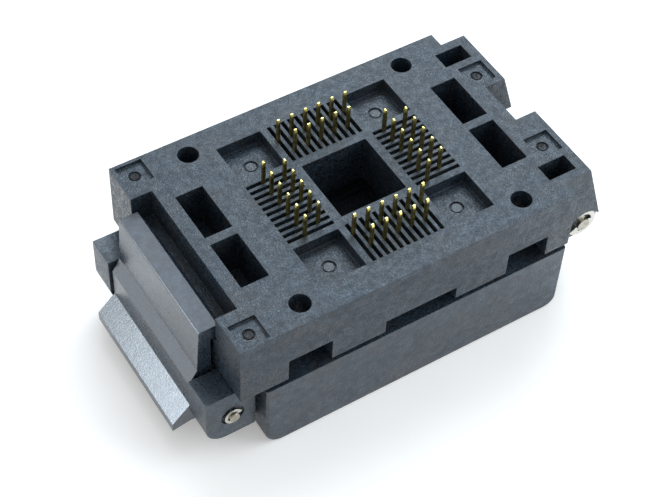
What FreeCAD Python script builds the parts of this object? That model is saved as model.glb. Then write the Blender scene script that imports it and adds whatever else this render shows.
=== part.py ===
import FreeCAD, Part
import Sketcher
import os
import re

# Clamshell test socket for a square flat package with leads on four sides.
# Frame: origin at the centre of the contact grid on the board face, +Z out of the board face
# (the contact tails point up), +X towards the lid hinge, -X towards the latch.
# The socket lies as photographed, on its lid, with the tails up. All sizes are in millimetres.

doc = FreeCAD.newDocument("TestSocket")
sheet = doc.addObject("Spreadsheet::Sheet", "Sizes")
sheet.Label = "Sizes"

SIZES = [
    # body of the base
    ("base_latch_end", 20.85, "from the grid centre to the latch end face"),
    ("base_hinge_end", 18.5, "from the grid centre to the hinge end face"),
    ("base_half_width", 13.3, "half the width of base and lid"),
    ("base_depth", 7.9, "board face to parting face"),
    ("nest_recess", 1.9, "depth of the nest recess in the parting face"),
    # contact field
    ("pitch", 0.8, "lead pitch"),
    ("lead_count", 11, "contacts on each side"),
    ("slot_width", 0.44, "width of one contact slot"),
    ("slot_long", 5.3, "length of a contact slot"),
    ("slot_under", 0.5, "contact slot below the package seat"),
    ("comb_corner", 0.68, "wall between the last slot and the slots of the next side"),
    ("frame_wall", 1.04, "wall between the slots and the window"),
    ("corner_land", 0.78, "wall between the last slot and the corner pocket"),
    ("corner_depth", 1.5, "depth of the corner pockets"),
    ("corner_mark_radius", 0.75, "round mark in a corner pocket"),
    ("tail_first", 1.33, "inner end of the slots to the inner tail row"),
    ("tail_step", 2.0, "inner tail row to outer tail row"),
    ("tail_width", 0.36, "radial width of a tail"),
    ("tail_out", 2.95, "tail length above the board face"),
    ("tail_tip", 0.32, "length of the tapered tail tip"),
    ("blank_gap", 0.07, "gap from contact blank to slot wall"),
    ("blank_end_gap", 0.15, "gap from contact blank to slot end"),
    ("bar_depth", 1.6, "board face to the contact bar"),
    ("bar_height", 1.0, "height of the contact bar"),
    ("arm_width", 0.5, "width of the contact spring arm"),
    ("leg_width", 0.8, "width of the contact anchor leg"),
    ("leg_gap", 0.4, "gap from the anchor leg to the spring arm"),
    ("leg_lift", 0.05, "anchor leg above the package seat"),
    ("touch_in", 1.1, "inner end of the slots to the contact point"),
    # holes, pockets and marks of the board face
    ("screw_x", 13.0, "mounting hole from the centre along X"),
    ("screw_y", 11.0, "mounting hole from the centre along Y"),
    ("screw_radius", 1.125, "mounting hole radius"),
    ("head_pocket_half", 2.5, "half width of the screw head pocket"),
    ("head_pocket_deep", 2.9, "parting face to the floor of the head pocket"),
    ("tray_inner", 13.8, "inner end of the long pockets along X"),
    ("tray_wide", 3.1, "width of the long pockets along X"),
    ("tray_rib_half", 0.5, "half the rib between the long pockets"),
    ("tray_half", 6.6, "outer side of the long pockets along Y"),
    ("tray_deep", 5.6, "depth of the long pockets"),
    ("mark_square", 2.95, "side of the shallow square recesses"),
    ("mark_deep", 0.4, "depth of the shallow square recesses"),
    ("mark_radius", 0.65, "radius of the round marks in them"),
    ("mark_dip", 0.08, "depth of the round marks"),
    ("mark_rim", 0.18, "width of the sunk rim of a round mark"),
    ("mark_rim_deep", 0.25, "depth of that rim"),
    ("mark_from_end", 1.95, "latch end face to the centre of the recess"),
    ("mark_from_side", 1.85, "long side to the centre of the recess"),
    ("mark_from_ear", 2.1, "ear edge to the centre of the recess"),
    ("mark_hinge_y", 5.95, "centre of the hinge side recess along Y"),
    ("notch_half", 4.25, "half the middle notch of the side"),
    ("notch_deep", 1.7, "parting face to the top of the middle notch"),
    ("notch_into", 0.7, "middle notch into the nest recess"),
    # hinge end of the base
    ("hinge_out", 3.7, "hinge end face to the hinge axis"),
    ("hinge_below", 1.1, "parting face to the hinge axis"),
    ("barrel_radius", 2.1, "radius of the base hinge barrels"),
    ("ear_out", 3.0, "ears beyond the hinge end face at the board face"),
    ("ear_side", 1.85, "long side to the outer side of the ears"),
    ("root_out", 0.5, "end wall between the ears beyond the hinge end face"),
    ("cheek_out", 0.8, "hinge end face to the inner side of the cheeks"),
    ("roof_rise", 3.85, "hinge axis to the underside of the ear roofs"),
    ("bay_near", 1.74, "near side of the open bay, on the -Y side"),
    ("bay_far", 3.75, "far side of the open bay, on the +Y side"),
    ("well_edge", 1.15, "ear edge to the small ear well"),
    ("well_long", 3.35, "length of the small ear well"),
    ("well_side", 1.05, "outer side of the ear to the small ear well"),
    ("well_wide", 2.1, "width of the small ear well"),
    ("well_deep", 4.0, "depth of the small ear well"),
    ("ring_step", 0.6, "depth of the face that a hinge clip stands on"),
    ("ring_seat_radius", 1.95, "radius of the round seat round that face"),
    ("ring_open_rise", 1.0, "hinge axis to the upper edge of the seat's open side"),
    # latch end of the base
    ("keep_back", 2.38, "depth of the latch recess along X"),
    ("keep_side", 0.4, "gap from the latch to the side of its recess"),
    ("keep_deep", 3.65, "board face to the ledge"),
    # package nest
    ("nest_edge", 0.3, "outer end of the slots to the nest recess"),
    ("nest_gap", 0.1, "gap round the nest plate"),
    ("nest_seat_gap", 0.05, "gap from nest plate to package seat"),
    ("nest_sink", 0.1, "nest plate below the parting face"),
    ("nest_open_out", 1.7, "inner end of the slots to the nest opening"),
    ("nest_lead", 0.5, "lead-in of the nest opening"),
    ("guide_in", 0.2, "inner end of the slots to the corner guides"),
    ("guide_drop", 0.7, "corner guides below the nest face"),
    ("nest_screw_edge", 1.25, "nest plate edge to nest screw"),
    ("nest_screw_radius", 0.6, "nest screw shank"),
    ("nest_head_radius", 1.05, "nest screw head"),
    ("nest_screw_long", 3.6, "nest screw length"),
    ("sink_gap", 0.02, "nest screw head to its seat"),
    ("cross_half", 0.63, "half the drive cross of a nest screw"),
    ("cross_wide_half", 0.1, "half the width of that cross"),
    ("cross_deep", 0.35, "depth of that cross"),
    # lid
    ("lid_gap", 0.75, "gap between base and lid rim"),
    ("lid_thick", 9.45, "thickness of the lid"),
    ("lid_back", 2.95, "latch end face of the base to that of the lid"),
    ("lid_round_latch", 2.0, "rounding of the lid at the latch end"),
    ("lid_round_hinge", 1.4, "rounding of the lid at the hinge end"),
    ("lid_edge_round", 0.3, "rounding of the long edges of the lid"),
    ("lid_floor", 2.6, "thickness of the lid floor"),
    ("core_wall", 2.8, "wall between the lid cavity and the lightening pockets"),
    ("core_edge_latch", 2.0, "wall outside the lightening pockets, latch end"),
    ("core_edge_hinge", 2.6, "wall outside the lightening pockets, hinge end"),
    ("core_long", 3.3, "length of the lightening pockets along X"),
    ("core_rib_half", 1.2, "half the rib between the lightening pockets"),
    ("core_side", 0.4, "side of the lid cavity to that of the lightening pockets"),
    ("core_deep", 3.2, "depth of the lightening pockets"),
    ("knuckle_radius", 1.85, "radius of the lid hinge knuckles"),
    ("knuckle_wide", 3.25, "width of a lid hinge knuckle"),
    ("knuckle_gap", 0.3, "side gap from knuckle to cheek and bay"),
    ("shelf_gap", 0.3, "gap between base barrels and the lid stop shelf"),
    ("shelf_thick", 2.3, "thickness of the stop shelf"),
    ("shelf_reach", 2.0, "stop shelf beyond the hinge axis"),
    ("shelf_half", 8.2, "half the stop shelf"),
    ("lug_gap", 0.25, "gap from the parting face to the latch lugs"),
    ("lug_front", 3.0, "latch lugs beyond the latch axis"),
    ("lug_step", 1.35, "long side of the lid to the outer face of a latch lug"),
    ("lug_side", 0.35, "gap from the latch to a lug"),
    ("lug_wide", 3.45, "width of a latch lug"),
    ("lug_below", 3.2, "latch axis to the lower side of the lugs"),
    ("lug_round", 2.3, "rounding of the lugs"),
    ("lug_groove", 0.6, "width of the groove at the root of the lugs"),
    ("lug_groove_deep", 0.95, "depth of that groove"),
    # shafts and clips
    ("hinge_shaft_radius", 0.75, "hinge shaft"),
    ("hinge_end_out", 0.65, "hinge shaft end beyond the clip face"),
    ("latch_shaft_radius", 0.55, "latch shaft"),
    ("latch_end_out", 0.45, "latch shaft end beyond the lug"),
    ("press_gap", 0.01, "radial gap of a held shaft"),
    ("run_gap", 0.05, "radial gap of a turning part on its shaft"),
    ("hinge_clip_radius", 1.75, "outer radius of a hinge clip"),
    ("hinge_clip_thick", 0.3, "thickness of a hinge clip"),
    ("hinge_neck_radius", 0.5, "groove of the hinge shaft"),
    ("latch_clip_radius", 1.0, "outer radius of a latch clip"),
    ("latch_clip_thick", 0.25, "thickness of a latch clip"),
    ("latch_neck_radius", 0.36, "groove of the latch shaft"),
    ("clip_gap", 0.02, "clip to groove wall and to its seat"),
    ("clip_bore_share", 0.7, "bore of a clip, as a share of its radius"),
    ("clip_land_share", 0.2, "half the width of a clip's inner lands, as a share of its radius"),
    ("clip_seat_radius", 1.3, "round seat of a latch clip in its lug"),
    ("clip_seat_deep", 0.3, "depth of that seat"),
    ("clip_play", 0.25, "end play of the latch shaft at each clip"),
    # latch
    ("latch_out", 0.15, "latch end face of the base to the latch axis"),
    ("latch_below", 3.8, "parting face to the latch axis"),
    ("latch_wall_gap", 0.35, "latch stem to the base end face"),
    ("latch_stem", 1.3, "thickness of the latch stem"),
    ("latch_rise", 1.95, "ledge to the top of the latch"),
    ("latch_top_width", 2.1, "width of the top strip"),
    ("latch_top_round", 0.25, "rounding of the top outer edge"),
    ("hook_reach", 1.1, "hook beyond the base end face"),
    ("hook_gap", 0.2, "hook above the ledge"),
    ("hook_flat", 0.75, "height of the hook nose"),
    ("belly_out", 1.25, "outer face of the lower latch beyond the upper one"),
    ("belly_step", 0.3, "outward step at the start of the belly"),
    ("belly_rise", 4.1, "latch axis to the start of the belly"),
    ("belly_slope", 1.6, "height of the sloped part of the belly"),
    ("latch_inside", 1.7, "latch axis to the inner face of the lower latch"),
    ("heel_gap", 0.7, "parting face to the start of the heel"),
    ("heel_rise", 0.8, "height of the heel bevel"),
    ("foot_bevel", 0.9, "bevel of the inner lower edge"),
    ("tab_below", 1.1, "latch axis to the start of the finger tab"),
    ("tab_out", 2.05, "finger tab beyond the belly"),
    ("tab_drop", 2.05, "start of the tab to the upper edge of its tip"),
    ("tab_lip", 1.05, "thickness of the tab tip"),
    ("tab_cup", 0.45, "hollow of the lower side of the tab"),
    # pusher
    ("pusher_edge", 0.3, "nest plate edge to pusher edge"),
    ("pusher_side_gap", 0.3, "pusher to lid wall"),
    ("pusher_rest_gap", 0.8, "nest face to pusher face"),
    ("pusher_thick", 3.8, "thickness of the pusher"),
    ("pusher_travel", 0.6, "travel of the pusher"),
    ("rib_wide", 0.8, "width of a pusher rib"),
    ("rib_shift", 0.05, "rib centre inside the contact point"),
    ("rib_end", 0.3, "rib beyond the last lead"),
    ("rib_side_gap", 0.3, "rib to corner guide"),
    ("rib_seat_gap", 0.4, "rib to package seat with no package"),
    ("relief_edge", 0.95, "rib to the square relief of the pusher"),
    ("relief_deep", 1.0, "depth of that relief"),
    ("push_screw_edge", 1.9, "pusher edge to shoulder screw"),
    ("push_screw_radius", 0.8, "shoulder screw shank"),
    ("push_screw_in", 2.6, "shoulder screw into the pusher"),
    ("push_head_radius", 1.5, "shoulder screw head"),
    ("push_head_thick", 0.8, "thickness of the head"),
    ("push_head_clear", 0.2, "head inside the lid face at full travel"),
    ("head_seat_gap", 0.05, "head to its seat"),
    ("drive_wide_half", 0.2, "half the drive slot of a shoulder screw"),
    ("drive_deep", 0.35, "depth of that slot"),
    ("slide_gap", 0.2, "radial gap of shank and head in the lid"),
    # springs
    ("push_spring_edge", 2.9, "pusher edge to a pusher spring"),
    ("push_spring_radius", 1.02, "mean radius of a pusher spring"),
    ("push_wire", 0.17, "wire radius of a pusher spring"),
    ("push_turns", 7, "turns of a pusher spring"),
    ("push_pocket_deep", 2.2, "spring pocket in the pusher"),
    ("floor_pocket_deep", 0.4, "spring pocket in the lid floor"),
    ("pocket_gap", 0.25, "spring to pocket wall"),
    ("latch_spring_y", 4.2, "latch springs from the middle along Y"),
    ("latch_spring_below", 2.3, "latch axis to the latch springs"),
    ("latch_spring_radius", 0.9, "mean radius of a latch spring"),
    ("latch_wire", 0.15, "wire radius of a latch spring"),
    ("latch_turns", 6, "turns of a latch spring"),
    ("latch_pocket_lid", 2.4, "spring pocket in the lid end"),
    ("latch_pocket_latch", 0.7, "spring pocket in the latch"),
    ("coil_clear", 0.82, "hinge shaft to the inside of the hinge spring"),
    ("coil_wire", 0.28, "wire radius of the hinge spring"),
    ("coil_turns", 5.5, "turns of the hinge spring"),
    ("coil_end_gap", 0.15, "hinge spring to the knuckles"),
    ("leg_in", 1.8, "hinge spring leg into the end wall of the base"),
    ("leg_slot_gap", 0.1, "gap round that leg"),
    ("leg_end_gap", 0.4, "hinge spring leg to the lid end face"),
]

# Sizes that follow from the ones above, by name.
FITS = {
    "seat_depth": "base_depth-nest_recess",
    "field_half": "(lead_count-1)/2*pitch",
    "slot_inner": "field_half+slot_width/2+comb_corner",
    "slot_outer": "slot_inner+slot_long",
    "window_half": "slot_inner-frame_wall",
    "corner_inner": "field_half+slot_width/2+corner_land",
    "corner_mark_at": "(corner_inner+slot_outer)/2",
    "tail_inner": "slot_inner+tail_first",
    "tail_outer": "tail_inner+tail_step",
    "touch_radius": "slot_inner+touch_in",
    "tray_outer": "tray_inner+tray_wide",
    "mark_latch_x": "base_latch_end-mark_from_end",
    "mark_latch_y": "base_half_width-mark_from_side",
    "mark_hinge_x": "ear_top-mark_from_ear",
    "notch_reach": "nest_half+nest_gap-notch_into",
    "hinge_x": "base_hinge_end+hinge_out",
    "hinge_deep": "base_depth+hinge_below",
    "ear_top": "base_hinge_end+ear_out",
    "ear_half": "base_half_width-ear_side",
    "ear_root": "base_hinge_end+root_out",
    "ear_back": "base_hinge_end+cheek_out",
    "roof_deep": "hinge_deep-roof_rise",
    "cheek_near": "bay_near+knuckle_wide+2*knuckle_gap",
    "cheek_far": "bay_far+knuckle_wide+2*knuckle_gap",
    "well_outer": "ear_top-well_edge",
    "well_inner": "well_outer-well_long",
    "well_high": "ear_half-well_side",
    "well_low": "well_high-well_wide",
    "ring_land": "ear_half-ring_step",
    "keep_inner": "base_latch_end-keep_back",
    "keep_half": "latch_half+keep_side",
    "nest_half": "slot_outer-nest_edge-nest_gap",
    "nest_opening": "slot_inner+nest_open_out",
    "guide_inner": "slot_inner+guide_in",
    "nest_screw_at": "nest_half-nest_screw_edge",
    "lid_latch_end": "base_latch_end-lid_back",
    "cavity_half": "pusher_half+pusher_side_gap",
    "core_share_latch": "(lid_latch_end-cavity_half)/(core_wall+core_long+core_edge_latch)",
    "core_share_hinge": "(base_hinge_end-cavity_half)/(core_wall+core_long+core_edge_hinge)",
    "core_inner_latch": "cavity_half+core_wall*core_share_latch",
    "core_inner_hinge": "cavity_half+core_wall*core_share_hinge",
    "core_outer_latch": "lid_latch_end-core_edge_latch*core_share_latch",
    "core_outer_hinge": "base_hinge_end-core_edge_hinge*core_share_hinge",
    "core_high": "cavity_half-core_side",
    "lug_reach": "latch_x+lug_front",
    "lug_outer": "base_half_width-lug_step",
    "lug_inner": "lug_outer-lug_wide",
    "latch_half": "lug_inner-lug_side",
    "lug_bottom": "latch_deep+lug_below",
    "clip_face": "lug_outer-clip_seat_deep",
    "hinge_shaft_half": "ring_land+hinge_end_out",
    "latch_shaft_half": "lug_outer+latch_end_out",
    "latch_x": "base_latch_end+latch_out",
    "latch_deep": "base_depth+latch_below",
    "latch_back": "base_latch_end+latch_wall_gap+latch_stem",
    "latch_top": "keep_deep-latch_rise",
    "latch_belly": "latch_back+belly_out",
    "belly_start": "latch_deep-belly_rise",
    "belly_full": "belly_start+belly_slope",
    "latch_inner": "latch_x-latch_inside",
    "heel_start": "base_depth+heel_gap",
    "heel_end": "heel_start+heel_rise",
    "tab_start": "latch_deep+tab_below",
    "tab_tip": "latch_belly+tab_out",
    "tab_edge": "tab_start+tab_drop",
    "tab_bottom": "tab_edge+tab_lip",
    "pusher_half": "nest_half-pusher_edge",
    "rib_inner": "touch_radius-rib_wide/2-rib_shift",
    "rib_outer": "rib_inner+rib_wide",
    "relief_half": "rib_inner-relief_edge",
    "push_screw_at": "pusher_half-push_screw_edge",
    "push_head_sink": "push_head_thick+pusher_travel+push_head_clear",
    "push_spring_at": "pusher_half-push_spring_edge",
    "latch_spring_deep": "latch_deep+latch_spring_below",
    "coil_radius": "hinge_shaft_radius+coil_clear+coil_wire",
    "leg_reach": "hinge_x-ear_root+leg_in",
    "leg_y": "bay_far-coil_end_gap-coil_wire",
}

row = 1
for alias, number, note in SIZES:
    sheet.set("A%d" % row, note)
    sheet.set("B%d" % row, str(number))
    sheet.setAlias("B%d" % row, alias)
    row = row + 1
doc.recompute()


def ex(text):
    # An expression on the sheet: a name is a fit, written out in full, or a cell of the sheet.
    def full(match):
        word = match.group(0)
        if word in FITS:
            return "(" + ex(FITS[word]) + ")"
        return "Sizes." + word
    return re.sub(r"\b[a-z][a-z0-9_]*\b(?!\s*\()", full, str(text))


def value(text):
    return float(sheet.evalExpression(ex(text)))


def bind(thing, prop, text):
    thing.setExpression(prop, ex(text))


def block(name, x0, x1, y0, y1, z0, z1):
    # A rectangular block between six planes.
    box = doc.addObject("Part::Box", name)
    bind(box, "Length", "(%s)-(%s)" % (x1, x0))
    bind(box, "Width", "(%s)-(%s)" % (y1, y0))
    bind(box, "Height", "(%s)-(%s)" % (z1, z0))
    bind(box, "Placement.Base.x", x0)
    bind(box, "Placement.Base.y", y0)
    bind(box, "Placement.Base.z", z0)
    return box


TURNS = {
    "x": FreeCAD.Rotation(FreeCAD.Vector(0, 1, 0), 90),
    "y": FreeCAD.Rotation(FreeCAD.Vector(1, 0, 0), -90),
    "z": FreeCAD.Rotation(),
}


def rod(name, along, radius, length, x, y, z):
    # A cylinder from a point, running the positive way along one axis.
    bar = doc.addObject("Part::Cylinder", name)
    bar.Placement = FreeCAD.Placement(FreeCAD.Vector(0, 0, 0), TURNS[along])
    bind(bar, "Radius", radius)
    bind(bar, "Height", length)
    bind(bar, "Placement.Base.x", x)
    bind(bar, "Placement.Base.y", y)
    bind(bar, "Placement.Base.z", z)
    return bar


def cone(name, radius_low, radius_high, length, x, y, z):
    body = doc.addObject("Part::Cone", name)
    bind(body, "Radius1", radius_low)
    bind(body, "Radius2", radius_high)
    bind(body, "Height", length)
    bind(body, "Placement.Base.x", x)
    bind(body, "Placement.Base.y", y)
    bind(body, "Placement.Base.z", z)
    return body


def join(name, parts):
    if len(parts) == 1:
        return parts[0]
    whole = doc.addObject("Part::MultiFuse", name)
    whole.Shapes = parts
    return whole


def cut(name, base, tools):
    left = doc.addObject("Part::Cut", name)
    left.Base = base
    left.Tool = join(name + "Tools", tools)
    left.Refine = True
    return left


def group(name, parts):
    # Identical pieces in one node, kept as separate solids.
    together = doc.addObject("Part::Compound", name)
    together.Links = parts
    return together


def plane_of(body, role):
    for feature in body.Origin.OriginFeatures:
        if feature.Role == role:
            return feature
    raise RuntimeError("no plane " + role)


def outline(body, name, role, points):
    # A closed sketch of straight sides whose corners are bound to the sheet.
    sketch = body.newObject("Sketcher::SketchObject", name)
    sketch.AttachmentSupport = (plane_of(body, role), [""])
    sketch.MapMode = "FlatFace"
    spots = [FreeCAD.Vector(value(px), value(pz), 0) for px, pz in points]
    count = len(spots)
    for i in range(count):
        sketch.addGeometry(Part.LineSegment(spots[i], spots[(i + 1) % count]), False)
    for i in range(count):
        sketch.addConstraint(Sketcher.Constraint("Coincident", i, 2, (i + 1) % count, 1))
    for i in range(count):
        for kind, tag, text, axis in (
            ("DistanceX", "px", points[i][0], -2),
            ("DistanceY", "pz", points[i][1], -1),
        ):
            if str(text) == "0":
                sketch.addConstraint(Sketcher.Constraint("PointOnObject", i, 1, axis))
                continue
            number = sketch.addConstraint(Sketcher.Constraint(kind, -1, 1, i, 1, value(text)))
            sketch.renameConstraint(number, "%s%d" % (tag, i))
            bind(sketch, "Constraints.%s%d" % (tag, i), text)
    return sketch


def prism(name, points, y0, y1):
    # A profile in the XZ plane, padded from y0 to y1.
    body = doc.addObject("PartDesign::Body", name)
    sketch = outline(body, name + "Profile", "XZ_Plane", points)
    bind(sketch, "AttachmentOffset.Base.z", "-(%s)" % y1)
    pad = body.newObject("PartDesign::Pad", name + "Pad")
    pad.Profile = sketch
    bind(pad, "Length", "(%s)-(%s)" % (y1, y0))
    body.Tip = pad
    return body


def round_edges(body, name, radius, wanted):
    # A fillet on those edges of the body that the test picks.
    doc.recompute()
    base = body.Tip
    names = []
    for i, edge in enumerate(base.Shape.Edges):
        ends = [v.Point for v in edge.Vertexes]
        if len(ends) == 2 and wanted(ends[0], ends[1]):
            names.append("Edge%d" % (i + 1))
    fillet = body.newObject("PartDesign::Fillet", name)
    fillet.Base = (base, names)
    bind(fillet, "Radius", radius)
    body.Tip = fillet
    return body


def along_y(a, b):
    return abs(a.x - b.x) < 1e-6 and abs(a.z - b.z) < 1e-6 and abs(a.y - b.y) > 1e-3


nodes = []


def keep(thing, label):
    thing.Label = label
    nodes.append(thing)
    return thing


count_per_side = int(round(value("lead_count")))
parting = "-base_depth"
lid_top = "-(base_depth+lid_gap)"
lid_bottom = "-(base_depth+lid_gap+lid_thick)"
lid_inside = "-(base_depth+lid_gap+lid_thick-lid_floor)"
hinge_z = "-hinge_deep"
latch_z = "-latch_deep"


def signed(text, sign):
    return text if sign > 0 else "-(%s)" % text


def span(low, high, sign):
    # The two ends of a range on the + or - side, in rising order.
    if sign > 0:
        return (low, high)
    return ("-(%s)" % high, "-(%s)" % low)


# Base housing: one moulded block with the contact comb, the screw holes and the hinge ears
solids = [block("BaseBlock", "-base_latch_end", "base_hinge_end",
                "-base_half_width", "base_half_width", parting, "0")]
solids.append(block("HingeRoot", "base_hinge_end-1", "ear_root", "-ear_half", "ear_half", parting, "0"))

# The sloped outer face of the ears is tangent to the barrel round the hinge axis.
qx = "(ear_top-hinge_x)"
qz = "hinge_deep"
qq = "(%s*%s+%s*%s)" % (qx, qx, qz, qz)
root = "sqrt(%s-barrel_radius*barrel_radius)" % qq
touch_x = "hinge_x+barrel_radius*(barrel_radius*%s+%s*%s)/%s" % (qx, root, qz, qq)
touch_z = "barrel_radius*(barrel_radius*%s-%s*%s)/%s-hinge_deep" % (qz, root, qx, qq)
slope = "((%s)-ear_top)/(-(%s))" % (touch_x, touch_z)
roof_x = "ear_top+(%s)*roof_deep" % slope
barrel_low = "-(hinge_deep+barrel_radius)"

roof = [("base_hinge_end-1", "0"), ("ear_top", "0"), (roof_x, "-roof_deep"),
        ("base_hinge_end-1", "-roof_deep")]
solids.append(prism("RoofNear", roof, "-ear_half", "-bay_near"))
solids.append(prism("RoofFar", roof, "bay_far", "ear_half"))
cheek = [("base_hinge_end-1", "0"), ("ear_top", "0"), (touch_x, touch_z), ("hinge_x", barrel_low),
         ("ear_back", barrel_low), ("ear_back", parting), ("base_hinge_end-1", parting)]
for side, low, high in (("Near", "-ear_half", "-cheek_near"), ("Far", "cheek_far", "ear_half")):
    solids.append(prism("Cheek" + side, cheek, low, high))
    solids.append(rod("Barrel" + side, "y", "barrel_radius", "(%s)-(%s)" % (high, low),
                      "hinge_x", low, hinge_z))
solid_base = join("BaseSolid", solids)


def round_mark(name, radius, x, y, floor):
    # Cutters of a round mark in a floor facing up: a shallow dip and a sunk rim.
    dip = rod(name + "Dip", "z", radius, "mark_dip+mark_deep/2", x, y, "-(%s)-mark_dip" % floor)
    outside = rod(name + "Outer", "z", radius, "mark_rim_deep", x, y, "-(%s)-mark_rim_deep" % floor)
    inside = rod(name + "Inner", "z", "%s-mark_rim" % radius, "mark_rim_deep+1", x, y,
                 "-(%s)-mark_rim_deep-0.5" % floor)
    return [dip, cut(name + "Rim", outside, [inside])]


tools = [block("Window", "-window_half", "window_half", "-window_half", "window_half",
               "-base_depth-1", "1")]
for sx in (1, -1):
    for sy in (1, -1):
        tag = ("P" if sx > 0 else "M") + ("P" if sy > 0 else "M")
        x0, x1 = span("corner_inner", "slot_outer", sx)
        y0, y1 = span("corner_inner", "slot_outer", sy)
        tools.append(block("Corner" + tag, x0, x1, y0, y1, "-corner_depth", "1"))
        tools.extend(round_mark("CornerMark" + tag, "corner_mark_radius",
                                signed("corner_mark_at", sx), signed("corner_mark_at", sy),
                                "corner_depth"))
        tools.append(rod("ScrewHole" + tag, "z", "screw_radius", "base_depth+2",
                         signed("screw_x", sx), signed("screw_y", sy), "-base_depth-1"))
        tools.append(rod("HeadPocket" + tag, "z", "head_pocket_half", "head_pocket_deep+1",
                         signed("screw_x", sx), signed("screw_y", sy), "-base_depth-1"))
        x0, x1 = span("screw_x-head_pocket_half", "screw_x+head_pocket_half", sx)
        y0, y1 = span("screw_y", "base_half_width+1", sy)
        tools.append(block("HeadSlot" + tag, x0, x1, y0, y1, "-base_depth-1",
                           "-base_depth+head_pocket_deep"))
        x0, x1 = span("tray_inner", "tray_outer", sx)
        y0, y1 = span("tray_rib_half", "tray_half", sy)
        tools.append(block("Tray" + tag, x0, x1, y0, y1, "-tray_deep", "1"))
        middle_x = "mark_hinge_x" if sx > 0 else "-mark_latch_x"
        middle_y = signed("mark_hinge_y" if sx > 0 else "mark_latch_y", sy)
        tools.append(block("Mark" + tag, "%s-mark_square/2" % middle_x, "%s+mark_square/2" % middle_x,
                           "%s-mark_square/2" % middle_y, "%s+mark_square/2" % middle_y,
                           "-mark_deep", "1"))
        tools.extend(round_mark("RoundMark" + tag, "mark_radius", middle_x, middle_y, "mark_deep"))
        tools.append(rod("NestThread" + tag, "z", "nest_screw_radius+press_gap",
                         "nest_screw_long+1", signed("nest_screw_at", sx), signed("nest_screw_at", sy),
                         "-seat_depth-1"))
for sy in (1, -1):
    tag = "P" if sy > 0 else "M"
    y0, y1 = span("notch_reach", "base_half_width+1", sy)
    tools.append(block("Notch" + tag, "-notch_half", "notch_half", y0, y1, "-base_depth-1",
                       "-base_depth+notch_deep"))
    y0, y1 = span("well_low", "well_high", sy)
    tools.append(block("Well" + tag, "well_inner", "well_outer", y0, y1, "-well_deep", "1"))
    y0, y1 = span("ring_land", "ear_half+1", sy)
    tools.append(rod("RingSeat" + tag, "y", "ring_seat_radius", "ring_step+1", "hinge_x", y0, hinge_z))
    tools.append(block("RingBelow" + tag, "hinge_x-ring_seat_radius", "hinge_x+2*barrel_radius", y0, y1,
                       "-(hinge_deep+2*barrel_radius)", hinge_z))
    tools.append(block("RingBeside" + tag, "hinge_x", "hinge_x+2*barrel_radius", y0, y1,
                       hinge_z, "-(hinge_deep-ring_open_rise)"))
tools.append(rod("HingeBore", "y", "hinge_shaft_radius+press_gap", "2*ear_half+2",
                 "hinge_x", "-ear_half-1", hinge_z))
tools.append(block("Keep", "-base_latch_end-1", "-keep_inner", "-keep_half", "keep_half",
                   "-keep_deep", "1"))
tools.append(block("NestRecess", "-(nest_half+nest_gap)", "nest_half+nest_gap",
                   "-(nest_half+nest_gap)", "nest_half+nest_gap", "-base_depth-1", "-seat_depth"))
tools.append(block("LegSlot", "hinge_x-leg_reach-leg_slot_gap", "ear_root+1",
                   "leg_y-coil_wire-leg_slot_gap", "leg_y+coil_wire+leg_slot_gap",
                   "-hinge_deep+coil_radius-coil_wire-leg_slot_gap",
                   "-hinge_deep+coil_radius+coil_wire+leg_slot_gap"))
for i in range(count_per_side):
    at = "(%d-(lead_count-1)/2)*pitch" % i
    low = "(%s)-slot_width/2" % at
    high = "(%s)+slot_width/2" % at
    tools.append(block("SlotN%d" % i, low, high, "slot_inner", "slot_outer", "-seat_depth-slot_under", "1"))
    tools.append(block("SlotS%d" % i, low, high, "-slot_outer", "-slot_inner", "-seat_depth-slot_under", "1"))
    tools.append(block("SlotE%d" % i, "slot_inner", "slot_outer", low, high, "-seat_depth-slot_under", "1"))
    tools.append(block("SlotW%d" % i, "-slot_outer", "-slot_inner", low, high, "-seat_depth-slot_under", "1"))
keep(cut("BaseHousing", solid_base, tools), "base_housing")


# Contacts: stamped blanks, one in each slot, with the tails in two staggered rows
def contact_shape(tail_at):
    half = value("tail_width") / 2
    top = value("tail_out")
    bar_top = -value("bar_depth")
    bar_low = bar_top - value("bar_height")
    inner = value("slot_inner") + value("blank_end_gap")
    outer = value("slot_outer") - value("blank_end_gap")
    seat = -value("seat_depth")
    arm = value("arm_width")
    touch = value("touch_radius")
    leg = outer - value("leg_width")
    free = leg - value("leg_gap")
    mid = (bar_low + seat) / 2
    leg_end = seat + value("leg_lift")
    points = [
        (inner, bar_top), (tail_at - half, bar_top), (tail_at - half, top - value("tail_tip")),
        (tail_at - half * 0.4, top), (tail_at + half * 0.4, top),
        (tail_at + half, top - value("tail_tip")), (tail_at + half, bar_top),
        (outer, bar_top), (outer, leg_end), (leg, leg_end), (leg, bar_low),
        (free, bar_low), (free, mid - arm / 2), (touch + arm, mid - arm * 0.9),
        (touch + arm * 0.45, seat + 0.15), (touch, seat), (touch - arm * 0.45, seat + 0.15),
        (touch - arm * 0.2, mid), (free - arm, mid + arm * 0.6), (free - arm, bar_low),
        (inner, bar_low),
    ]
    thick = value("slot_width") - 2 * value("blank_gap")
    wire = Part.makePolygon([FreeCAD.Vector(-thick / 2, r, z) for r, z in points + points[:1]])
    return Part.Face(wire).extrude(FreeCAD.Vector(thick, 0, 0))


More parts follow.
